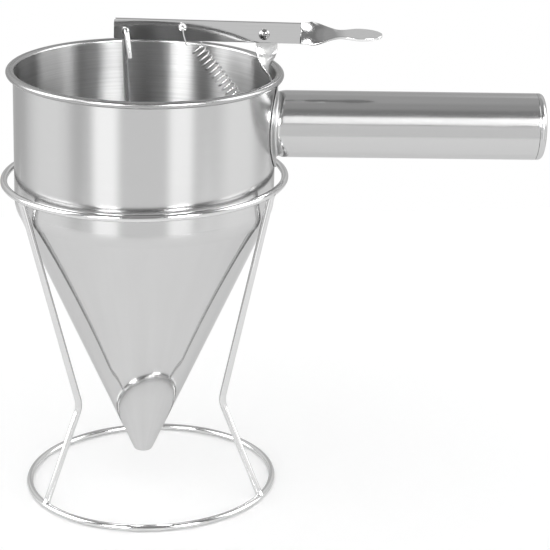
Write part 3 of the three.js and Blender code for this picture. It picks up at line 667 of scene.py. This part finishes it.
def tab_stations():
    """Stations of the thumb tab: its uneven twist and its round paddle."""
    stations = []
    xs = np.linspace(CREASE_END, TAB_NECK, 151)
    rates = np.interp(xs, *zip(*TWIST_RATES))
    turned_by = np.concatenate([[0.0], np.cumsum((rates[1:] + rates[:-1]) / 2)])
    for x, share in zip(xs, turned_by / turned_by[-1]):
        if x < TAB_SHOULDER:
            width = mix(BAR_HEIGHT, SHOULDER_WIDTH, smooth(x, (CREASE_END + TAB_SHOULDER) / 2, TAB_SHOULDER))
        else:
            width = mix(SHOULDER_WIDTH, NECK_WIDTH, smooth(x, TAB_SHOULDER, TAB_NECK))
        stations.append((x, width, mix(CREASE_TWIST, TAB_TWIST, share)))
    for t in np.linspace(0, 1, 25)[1:]:
        width = mix(NECK_WIDTH, PADDLE_WIDTH, smooth(t, 0, 1))
        stations.append((mix(TAB_NECK, TAB_PADDLE, t), width, TAB_TWIST))
    for a in np.linspace(0, QUARTER, 33)[1:-1]:
        stations.append((mix(TAB_PADDLE, TAB_END, sin(a)), PADDLE_WIDTH * cos(a), TAB_TWIST))
    return stations


def make_lever():
    stations = [(np.array((x, 0, BAR_CENTRE)), width, (0, sin(a), cos(a)))
                for x, width, a in bar_stations() + tab_stations()]
    lever = strip("lever_strip", stations, LEVER)
    cut(lever, [deburred_drill(hole, LEVER) for hole in (PIVOT_HOLE, ROD_HOLE, SPRING_HOLE)])
    return keep(lever, "lever", "lever_steel", "lever")


# Pivot screw, washer and nut
def recess_blocks():
    """Two crossed wedges that cut the screw's recess."""
    block_faces = [(0, 1, 3, 2), (4, 6, 7, 5), (0, 4, 5, 1), (2, 3, 7, 6), (0, 2, 6, 4), (1, 5, 7, 3)]
    place = PIN @ Matrix.Translation((0, 0, HEAD_BACK + HEAD_HEIGHT - RECESS_DEPTH))
    blocks = []
    for turn in (0, QUARTER):
        points = [(x * reach, y * width, z) for z, reach, width in RECESS_TAPER
                  for x in (-RECESS_REACH, RECESS_REACH) for y in (-RECESS_HALF_WIDTH, RECESS_HALF_WIDTH)]
        turned = place @ Matrix.Rotation(RECESS_TURN + turn, 4, "Z")
        blocks.append(make_mesh("slot", points, block_faces, None, turned, 20))
    return blocks


def make_screw():
    dome_radius = (HEAD_RADIUS ** 2 + HEAD_HEIGHT ** 2) / (2 * HEAD_HEIGHT)
    dome_centre = HEAD_BACK + HEAD_HEIGHT - dome_radius
    dome_from = asin((HEAD_BACK + HEAD_RIM - dome_centre) / dome_radius)
    shank_end = -(POST_FACE + NUT_THICKNESS + SCREW_PAST_NUT)
    outline = [(0, shank_end), (SCREW_RADIUS - SCREW_CHAMFER, shank_end)]
    outline += [(SCREW_RADIUS, shank_end + SCREW_CHAMFER), (SCREW_RADIUS, HEAD_BACK)]
    outline += [(HEAD_RADIUS - HEAD_CORNER, HEAD_BACK), (HEAD_RADIUS, HEAD_BACK + HEAD_EDGE)]
    outline += arc((0, dome_centre), dome_radius, dome_from, QUARTER, 16)[:-1]
    outline += [(0, HEAD_BACK + HEAD_HEIGHT)]
    screw = lathe("screw", outline, LATHE_SMALL, PIN, closed=False)
    cut(screw, recess_blocks(), 35)
    keep(screw, "funnel", "fastener_steel", "pivot_screw")


def make_washer():
    back, front = POST_FACE, POST_FACE + WASHER_THICKNESS
    inner, outer, edge = WASHER_HOLE, WASHER_RADIUS, WASHER_EDGE
    outline = [(inner, back + edge), (inner + edge, back), (outer - edge, back), (outer, back + edge)]
    outline += [(outer, front - edge), (outer - edge, front), (inner + edge, front), (inner, front - edge)]
    keep(lathe("washer", outline, LATHE_SMALL, PIN), "funnel", "fastener_steel", "pivot_washer")


def make_nut():
    """Hexagon nut with a bore and corners cut back at both faces."""
    back, front = -(POST_FACE + NUT_THICKNESS), -POST_FACE
    corner_radius = NUT_FLATS / sqrt(3)
    rows = ((0.0, back), (NUT_FACE_SHARE, back), (1.0, back + NUT_CHAMFER),
            (1.0, front - NUT_CHAMFER), (NUT_FACE_SHARE, front), (0.0, front))
    side_step, row_step = 0.3, 0.5
    points = []
    for corner_share, height in rows:
        for j in range(NUT_SIDES):
            a = TURN * j / NUT_SIDES
            from_flat = (a + pi / 6) % (pi / 3) - pi / 6
            hexagon = NUT_FLATS / 2 / cos(from_flat)
            radius = min(hexagon, corner_radius * corner_share) if corner_share else NUT_BORE
            points.append((radius * cos(a), radius * sin(a), height))
    faces, corners = grid_faces(len(rows), NUT_SIDES, closed_rows=True)
    uvs = [(j * side_step, i * row_step) for i, j in corners]
    keep(make_mesh("nut", points, faces, uvs, PIN, 25), "funnel", "fastener_steel", "pivot_nut")


# Rod and plug
def from_lever(hole):
    """A hole of the lever in the funnel's frame."""
    turned = Matrix.Rotation(BAR_TILT, 3, "Y") @ Vector((hole[0], 0, hole[1]))
    return np.array(turned) + np.array((PIVOT_FROM_AXIS, 0, PIVOT_HEIGHT))


rod_hole = from_lever(ROD_HOLE)
plug_height = (PLUG_RADIUS + SEAT_GAP - OUTLET_RADIUS * cos(CONE_HALF_ANGLE)) / sin(CONE_HALF_ANGLE)
rod_length = hypot(rod_hole[0], rod_hole[2] - plug_height)
rod_tilt = atan2(rod_hole[0], rod_hole[2] - plug_height)
VALVE = FUNNEL @ Matrix.Translation((0, 0, plug_height)) @ Matrix.Rotation(rod_tilt, 4, "Y")


def make_rod():
    """Rod from the plug's socket up through the lever's hole and down again in front as a hook."""
    front = 2 * LEVER_Y
    hook_x = HOOK_SKEW + HOOK_LEG * sin(HOOK_SPLAY)
    hook_z = rod_length - HOOK_LEG * cos(HOOK_SPLAY) + HOOK_LIFT
    line = bent_path([
        (0, 0, PLUG_TAPER - PLUG_SOCKET + SEAT_GAP),
        (-HOOK_SKEW, 0, rod_length),
        (HOOK_SKEW, front, rod_length),
        (hook_x, front - HOOK_LEAN, hook_z),
    ], -LEVER_Y * cos(HOOK_SPLAY / 2), 20)
    straight = [mix(line[0], line[1], t) for t in np.linspace(0, 1, 24)]
    rod = wire("rod_wire", np.vstack([straight, line[2:]]), ROD_RADIUS, 36, VALVE, ROD_END_ROUND)
    keep(rod, "valve", "wire_steel", "valve_rod")


def make_plug():
    """Ball that closes the outlet, with a waisted neck and a socket for the rod."""
    neck = ROD_RADIUS + SEAT_GAP + PLUG_WALL
    ball_clear, waist_power = 0.25, 1.2
    ball_end = QUARTER - asin(neck / PLUG_RADIUS) - ball_clear
    outline = arc((0, 0), PLUG_RADIUS, -QUARTER, ball_end, 40)
    ball_x, ball_z = outline[-1]
    socket = ROD_RADIUS + SOCKET_CLEARANCE
    neck_foot = PLUG_TAPER - PLUG_NECK_LENGTH
    outline += [(mix(ball_x, neck, sin(t * QUARTER)), mix(ball_z, neck_foot, t ** waist_power))
                for t in np.linspace(0.1, 1, 12)]
    outline += [(neck, PLUG_TAPER - PLUG_EDGE), (neck - PLUG_EDGE, PLUG_TAPER), (socket, PLUG_TAPER)]
    outline += [(socket, PLUG_TAPER - PLUG_SOCKET), (0, PLUG_TAPER - PLUG_SOCKET)]
    keep(lathe("plug", outline, 128, VALVE, closed=False), "valve", "polished_steel", "valve_plug")


def leaning_down(length, lean):
    return length * np.array((sin(lean), 0, -cos(lean)))


def make_spring():
    """Extension spring from the lever's hole down to the post's tab, hooked through both."""
    coil_radius = SPRING_OUTER - SPRING_WIRE
    wire_clear = STRIP / 2 + SEAT_GAP + SPRING_WIRE
    spring_hole = from_lever(SPRING_HOLE)
    anchor = np.array((SPRING_ANCHOR, 0, SPRING_TAB_HEIGHT))
    hole = np.array((spring_hole[0], LEVER_Y, spring_hole[2]))
    flat_hole = hole * (1, 0, 1)
    along = unit(anchor - flat_hole)
    upside = np.array((-along[2], 0, along[0]))
    coil_start = flat_hole + along * COIL_FROM_HOLE - upside * COIL_OFF_LINE
    coil_end = anchor - along * COIL_FROM_ANCHOR - upside * COIL_OFF_LINE
    count = round(COILS * COIL_STEPS)
    coil = []
    for i in range(count + 1):
        angle = QUARTER + TURN * i / COIL_STEPS
        round_axis = upside * coil_radius * sin(angle) + ACROSS * coil_radius * cos(angle)
        coil.append(mix(coil_start, coil_end, i / count) + round_axis)
    behind, front = hole + ACROSS * wire_clear, hole - ACROSS * wire_clear
    front_foot = front + leaning_down(HOOK_FRONT, FRONT_SPLAY)
    front_bend = front + leaning_down(HOOK_BEND, BEND_SPLAY)
    joined = 6
    upper = bent_path([front_foot + HOOK_TIP, front_foot, front_bend, front, behind, coil[0], coil[joined]],
                      SPRING_BEND, 12)
    over_tab = anchor + UP * LOWER_HOOK_HEIGHT
    under_tab = anchor - UP * (STRIP / 2 + LOWER_HOOK_HEIGHT)
    lead = coil_end + along * LOWER_HOOK_LEAD
    lower = bent_path([coil[-1], lead, over_tab, under_tab, under_tab + LOWER_HOOK_TIP], SPRING_BEND, 12)
    line = np.vstack([upper, coil[joined + 1:], lower[1:]])
    spring = outward(wire("spring_wire", line, SPRING_WIRE, 14, FUNNEL, SPRING_END_ROUND))
    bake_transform(spring)
    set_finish(spring, "spring_steel")
    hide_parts("return_spring")
    pieces[spring.name] = spring


make_ring("base_ring_wire", BASE_RING_RADIUS, WIRE_RADIUS, "stand_base_ring")
make_ring("top_ring_wire", TOP_RING_RADIUS, TOP_RING_HEIGHT, "stand_top_ring")
make_legs()
bowl = make_bowl()
cone = make_cone()
plate = make_plate()
tube = make_tube()
make_cap()
post = make_post()
lever = make_lever()
make_screw()
make_washer()
make_nut()
make_rod()
make_plug()
make_spring()


# Node code
def set_inputs(tree, node, inputs):
    """Gives each input its value, or links it to the socket that stands for one."""
    for key, value in inputs.items():
        if isinstance(value, bpy.types.NodeSocket):
            tree.links.new(value, node.inputs[key])
        else:
            node.inputs[key].default_value = value


def add_node(tree, kind, inputs=None, **settings):
    node = tree.nodes.new("ShaderNode" + kind)
    for setting, value in settings.items():
        setattr(node, setting, value)
    set_inputs(tree, node, inputs or {})
    return node


def math_node(tree, operation, *values):
    return add_node(tree, "Math", dict(enumerate(values)), operation=operation).outputs[0]


def noise(tree, surface, scale, detail, offset):
    """Noise over the surface's millimetres. scale is along and across, per millimetre."""
    mapping = add_node(tree, "Mapping", {0: surface, "Scale": (*scale, 1), "Location": (offset,) * 3})
    texture = add_node(tree, "TexNoise", {"Vector": mapping.outputs[0], "Scale": 1.0, "Detail": detail})
    return texture.outputs["Fac"]


def ranged(tree, value, low, high):
    """Turns noise into values from low to high."""
    limits = {"From Min": 0.3, "From Max": 0.7, "To Min": low, "To Max": high}
    return add_node(tree, "MapRange", {"Value": value, **limits}).outputs[0]


def step_up(tree, value, start, end):
    """Eased step from 0 to 1."""
    limits = {"From Min": start, "From Max": end}
    return add_node(tree, "MapRange", {"Value": value, **limits}, interpolation_type="SMOOTHSTEP").outputs[0]


def mix_colours(tree, share, first, second):
    inputs = {"Factor": share, "A": first, "B": second}
    return add_node(tree, "Mix", inputs, data_type="RGBA").outputs["Result"]


def bumped(tree, height, distance, normal=None):
    """Normal over bumps of that height in millimetres, on top of an earlier normal."""
    inputs = {"Distance": distance * MM, "Height": height}
    if normal:
        inputs["Normal"] = normal
    return add_node(tree, "Bump", inputs).outputs[0]


def grey(level):
    return (level, level, level, 1)


# Steel
EDGE_TINT = 0.75
UPRIGHT_GRAIN = 0.25
CLOUD_SCALE, CLOUD_SHARE = (0.06, 0.06), 0.6
MARK_DETAIL, CLOUD_DETAIL, WAVE_DETAIL = 4, 3, 1
MARK_OFFSET, CLOUD_OFFSET, WAVE_OFFSET = 3.0, 11.0, 7.0


def steel(name, level, roughness, spread=0.02, lines=(0.03, 2.2), depth=0.02, dull=0.03, anisotropy=0.0,
          waves=0.0, wave_scale=0.02, bow=0.0, polished=None):
    """Bright steel of one grey level.

    lines is the scale of the brushing along and across its marks, per millimetre, and depth their depth.
    spread and dull say how far the marks change the roughness and the colour. waves is the height of slow
    ripples. bow turns the shading along the surface, as a wall that is slightly bowed lengthwise would.
    polished is a brighter level painted on as a sheen, with the lengths between which it comes in.
    """
    material = bpy.data.materials.new(name)
    material.use_nodes = True
    tree = material.node_tree
    surface = add_node(tree, "UVMap", uv_map="surface").outputs[0]
    marks = noise(tree, surface, lines, MARK_DETAIL, MARK_OFFSET)
    cloud = noise(tree, surface, CLOUD_SCALE, CLOUD_DETAIL, CLOUD_OFFSET)
    both = math_node(tree, "MULTIPLY_ADD", cloud, CLOUD_SHARE, marks)
    cloudy = math_node(tree, "MULTIPLY", both, 1 / (1 + CLOUD_SHARE))
    dark, light = level * (1 - dull), min(1.0, level * (1 + dull))
    colour = mix_colours(tree, ranged(tree, marks, 0.0, 1.0), grey(dark), grey(light))
    # A brighter level painted in along the length: a painted sheen, not a finish of the steel.
    if polished:
        sheen_level, start, end = polished
        length = add_node(tree, "SeparateXYZ", {0: surface}).outputs["X"]
        colour = mix_colours(tree, step_up(tree, length, start, end), colour, grey(sheen_level))
    normal = None
    if waves:
        ripples = noise(tree, surface, (wave_scale, wave_scale), WAVE_DETAIL, WAVE_OFFSET)
        normal = bumped(tree, ripples, waves)
    if bow:
        down = add_node(tree, "SeparateXYZ", {0: surface}).outputs["Y"]
        normal = bumped(tree, math_node(tree, "MULTIPLY", down, down), bow, normal)
    shader = tree.nodes["Principled BSDF"]
    set_inputs(tree, shader, {
        "Metallic": 1.0,
        "Base Color": colour,
        "Roughness": ranged(tree, cloudy, roughness - spread, roughness + spread),
        "Specular Tint": grey(EDGE_TINT),
        "Normal": bumped(tree, marks, depth, normal),
    })
    if anisotropy:
        tangent = add_node(tree, "Tangent", direction_type="UV_MAP", uv_map="surface").outputs[0]
        set_inputs(tree, shader, {
            "Anisotropic": anisotropy,
            "Anisotropic Rotation": UPRIGHT_GRAIN,
            "Tangent": tangent,
        })
    return material


# The bowl outside, brushed round it
outside = steel("steel_outside", 0.61, 0.17, spread=0.015, lines=(0.02, 1.2), depth=0.0012, dull=0.008,
                anisotropy=0.65)
# The bowl and the cone inside, with coarser marks
inside = steel("steel_inside", 0.51, 0.3, spread=0.03, lines=(0.02, 1.1), depth=0.04, dull=0.09,
               anisotropy=1.0)
# The cone outside, polished to a mirror
cone_steel = steel("steel_cone", 0.598, 0.06, lines=(0.05, 0.006), depth=0.0012, bow=0.0004)
# The shoulder, polished unevenly
shoulder_steel = steel("steel_shoulder", 0.598, 0.2, lines=(0.05, 0.006), depth=0.0012, anisotropy=0.9,
                       waves=0.35, wave_scale=0.03)
# The rim's roll
rim_steel = steel("steel_rim", 0.43, 0.27, lines=(0.02, 1.2), depth=0.01, dull=0.012)
# The handle and the plug
bright = steel("steel_bright", 0.585, 0.17, lines=(0.03, 1.0), depth=0.003, dull=0.012)
# The saddle plate and the weld round the handle's root
weld_steel = steel("steel_weld", 0.58, 0.38, lines=(0.5, 0.5), depth=0.004)
# The stand and the rod
wire_steel = steel("steel_wire", 0.7, 0.12, depth=0.001)
# The lever's bar, its twisted tab with a painted sheen on the paddle, the tab's underside in painted shade,
# and the post
strip_steel = steel("steel_strip", 0.6, 0.05, depth=0.003, waves=0.05)
# The paddle's brighter level is a painted sheen that stands in for its reflection.
tab_steel = steel("steel_tab", 0.55, 0.17, depth=0.003,
                  polished=(0.85, BAR_END + TAB_NECK - 4, BAR_END + TAB_NECK + 4))
# The tab's downward faces, much darker than the strip: painted shade.
strip_underside_shade = steel("steel_strip_underside_shade", 0.28, 0.3)
post_steel = steel("steel_post", 0.62, 0.24, depth=0.003, waves=0.08, wave_scale=0.06)
# The pivot's screw, washer and nut
fine_steel = steel("steel_fine", 0.42, 0.16)
# The return spring
spring_finish = steel("steel_spring", 0.7, 0.12)

STEEL_OF_SLOT = {
    "bowl_steel": outside,
    "polished_steel": bright,
    "lever_steel": strip_steel,
    "wire_steel": wire_steel,
    "spring_steel": spring_finish,
    "fastener_steel": fine_steel,
}
WELDED_ROWS = 14


def set_finishes(piece, *materials):
    piece.data.materials.clear()
    for material in materials:
        piece.data.materials.append(material)


def finish_lever():
    """The tab from the twist on has its own finish, with a painted sheen on the paddle, and its downward
    faces have a darker level that is painted shade.
    """
    set_finishes(lever, strip_steel, strip_underside_shade, tab_steel)
    shoulder_x = (LEVER @ Vector((TAB_SHOULDER, 0, 0))).x * MM
    twist_x = (LEVER @ Vector((TWIST_START, 0, 0))).x * MM
    for polygon in lever.data.polygons:
        if polygon.center.x > shoulder_x and polygon.normal.z < -0.5:
            polygon.material_index = 1
        elif polygon.center.x > twist_x:
            polygon.material_index = 2


def finish_funnel():
    """Outside, the bowl, rim, shoulder and cone have a finish each. Inside they share one."""
    set_finishes(bowl, outside, inside, rim_steel, shoulder_steel)
    set_finishes(cone, cone_steel, inside)
    foot = FUNNEL.translation
    axis = (FUNNEL.to_3x3() @ Vector((0, 0, 1))).normalized()
    for piece in (bowl, cone):
        for polygon in piece.data.polygons:
            place = polygon.center / MM - foot
            height = place.dot(axis)
            arm = place - axis * height
            on_roll = arm.length > FUNNEL_RADIUS and height > RIM_HEIGHT - BEAD_RADIUS
            if polygon.normal.dot(arm) < 0 and height < RIM_HEIGHT:
                polygon.material_index = 1
            elif piece is bowl and (height > RIM_HEIGHT or on_roll):
                polygon.material_index = 2
            elif piece is bowl and height < SHOULDER_HEIGHT:
                polygon.material_index = 3


def finish_handle():
    """The saddle plate and the tube's welded root are duller than the handle."""
    set_finishes(plate, weld_steel)
    set_finishes(tube, bright, weld_steel)
    for polygon in tube.data.polygons[:HANDLE_SIDES * WELDED_ROWS]:
        polygon.material_index = 1


for piece in pieces.values():
    set_finishes(piece, STEEL_OF_SLOT[piece["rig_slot"]])
set_finishes(post, post_steel)
finish_lever()
finish_funnel()
finish_handle()
for name in ("lever_strip", "post_strip", "screw", "washer", "nut",
             "handle_cap", "handle_shell", "saddle_plate"):
    flat_normals(pieces[name])

# Camera, fitted to the photograph's edges: place in metres, angles in radians
CAMERA_PLACE = (0.01799, -1.15293, 0.53300)
YAW, PITCH, ROLL = 0.04892, 0.33764, -0.00027
FOCAL_PX, FRAME_PX = 2100.97, 550
SENSOR_WIDTH = 36
VIEW_REACH = 20


def place_camera():
    forward = Vector((sin(YAW) * cos(PITCH), cos(YAW) * cos(PITCH), -sin(PITCH)))
    right = Vector((cos(YAW), -sin(YAW), 0.0))
    upward = right.cross(forward)
    rolled_right = right * cos(ROLL) + upward * sin(ROLL)
    rolled_up = upward * cos(ROLL) - right * sin(ROLL)
    camera = bpy.data.objects.new("camera", bpy.data.cameras.new("camera"))
    camera.data.sensor_width = SENSOR_WIDTH
    camera.data.lens = FOCAL_PX * SENSOR_WIDTH / FRAME_PX
    camera.data.clip_end = VIEW_REACH
    placed = Matrix((rolled_right, rolled_up, -forward)).transposed().to_4x4()
    placed.translation = Vector(CAMERA_PLACE)
    camera.matrix_world = placed
    scene.collection.objects.link(camera)
    scene.camera = camera
    scene.view_settings.view_transform = "Standard"


# Studio: the room that the steel mirrors. Angles in degrees, azimuth from the front towards the handle.
# Each soft box: azimuth from and to, elevation from and to, brightness, soft edge
SOFT_BOXES = (
    (-112, -74, -40, 12, 1.02, 11),
    (-66, -51, -40, 12, 0.66, 7),
    (-180, -124, -40, 12, 0.68, 9),
    (124, 180, -40, 12, 0.72, 9),
    (72, 112, -40, 12, 1.1, 10),
    (-45, -23, -40, 13, 1.45, 5),
    (21, 42, -40, 13, 1.38, 5),
    (-43, -23, 13, 40, 15.0, 0.9),
    (22, 42, 13, 40, 17.0, 0.9),
    (72, 112, 4, 50, 3.6, 4),
    (-112, -65, 4, 50, 4.6, 3),
)
# Brightness of the room's parts, and the angles at which they begin or end, each with its soft edge
CEILING, OVERHEAD, BELOW, BEHIND, BACKDROP, FAR_WALL = 0.28, 0.42, 0.86, 0.5, 0.85, 0.6
OVERHEAD_FROM, BELOW_UP_TO, BACKDROP_UP_TO = (66, 6), (14, 2), (46.5, 1.5)
BEHIND_FROM, FAR_WALL_FROM = (115, 25), (165, 4)


def paint_studio():
    """World that mirrors as the room does, for glossy rays only. To all other rays it is plain white."""
    world = bpy.data.worlds.new("studio")
    scene.world = world
    world.use_nodes = True
    tree = world.node_tree
    tree.nodes.clear()

    def above(angle, at, soft):
        return step_up(tree, angle, at - soft, at + soft)

    def below(angle, at, soft):
        return math_node(tree, "SUBTRACT", 1.0, above(angle, at, soft))

    def product(first, second):
        return math_node(tree, "MULTIPLY", first, second)

    def blend(low, high, share):
        """low where share is 0 and high where it is 1. Each is a level or a socket."""
        numbers = isinstance(low, float) and isinstance(high, float)
        rise = high - low if numbers else math_node(tree, "SUBTRACT", high, low)
        return math_node(tree, "MULTIPLY_ADD", rise, share, low)

    direction = add_node(tree, "TexCoord").outputs["Generated"]
    toward_handle, away, high = add_node(tree, "SeparateXYZ", {0: direction}).outputs
    azimuth = math_node(tree, "DEGREES", math_node(tree, "ARCTAN2", toward_handle, product(away, -1.0)))
    elevation = math_node(tree, "DEGREES", math_node(tree, "ARCSINE", high))
    off_front = math_node(tree, "ABSOLUTE", azimuth)
    rear = above(off_front, *BEHIND_FROM)
    glow = blend(CEILING, OVERHEAD, above(elevation, *OVERHEAD_FROM))
    glow = blend(glow, BEHIND, rear)
    rear_wall = blend(BACKDROP, FAR_WALL, above(off_front, *FAR_WALL_FROM))
    glow = blend(glow, rear_wall, product(rear, below(elevation, *BACKDROP_UP_TO)))
    glow = blend(glow, BELOW, below(elevation, *BELOW_UP_TO))
    for left, right, bottom, top, level, soft in SOFT_BOXES:
        across = product(above(azimuth, left, soft), below(azimuth, right, soft))
        upright = product(above(elevation, bottom, soft), below(elevation, top, soft))
        glow = blend(glow, level, product(across, upright))
    glossy = add_node(tree, "LightPath").outputs["Is Glossy Ray"]
    background = add_node(tree, "Background", {"Color": blend(1.0, glow, glossy)})
    add_node(tree, "OutputWorld", {0: background.outputs[0]})


# Lamp, in metres, for the bright line along the handle. It faces the handle's line LAMP_TARGET mm out.
LAMP_PLACE, LAMP_LENGTH, LAMP_DEPTH, LAMP_LEVEL = Vector((0.165, -0.16, 0.302)), 0.21, 0.072, 1.12
LAMP_TARGET = 140


def place_lamp():
    lamp = bpy.data.objects.new("lamp", bpy.data.lights.new("lamp", "AREA"))
    lamp.data.shape = "RECTANGLE"
    lamp.data.size = LAMP_LENGTH
    lamp.data.size_y = LAMP_DEPTH
    lamp.data.energy = LAMP_LEVEL * pi * LAMP_LENGTH * LAMP_DEPTH
    lamp.visible_camera = False
    lamp.visible_diffuse = False
    facing = (HANDLE @ Vector((0, 0, LAMP_TARGET))) * MM - LAMP_PLACE
    facing.x = 0
    lamp.matrix_world = Matrix.Translation(LAMP_PLACE) @ facing.to_track_quat("-Z", "Y").to_matrix().to_4x4()
    scene.collection.objects.link(lamp)
    lit = bpy.data.collections.new("lit_by_lamp")
    for name in ("handle_shell", "handle_cap"):
        lit.objects.link(pieces[name])
    lamp.light_linking.receiver_collection = lit


# Floor, in millimetres, just under the stand
FLOOR_CORNERS = ((-520, -420, -0.02), (560, -420, -0.02), (560, 520, -0.02), (-520, 520, -0.02))
FLOOR_LEVEL, FLOOR_GLOW = 0.88, 0.16


def make_floor():
    """White floor that keeps a faint shadow."""
    floor = make_mesh("floor", FLOOR_CORNERS, [(0, 1, 2, 3)])
    paint = bpy.data.materials.new("floor_paint")
    paint.use_nodes = True
    set_inputs(paint.node_tree, paint.node_tree.nodes["Principled BSDF"], {
        "Base Color": grey(FLOOR_LEVEL),
        "Roughness": 0.9,
        "Specular IOR Level": 0.0,
        "Emission Color": grey(1),
        "Emission Strength": FLOOR_GLOW,
    })
    floor.data.materials.append(paint)


place_camera()
paint_studio()
place_lamp()
make_floor()
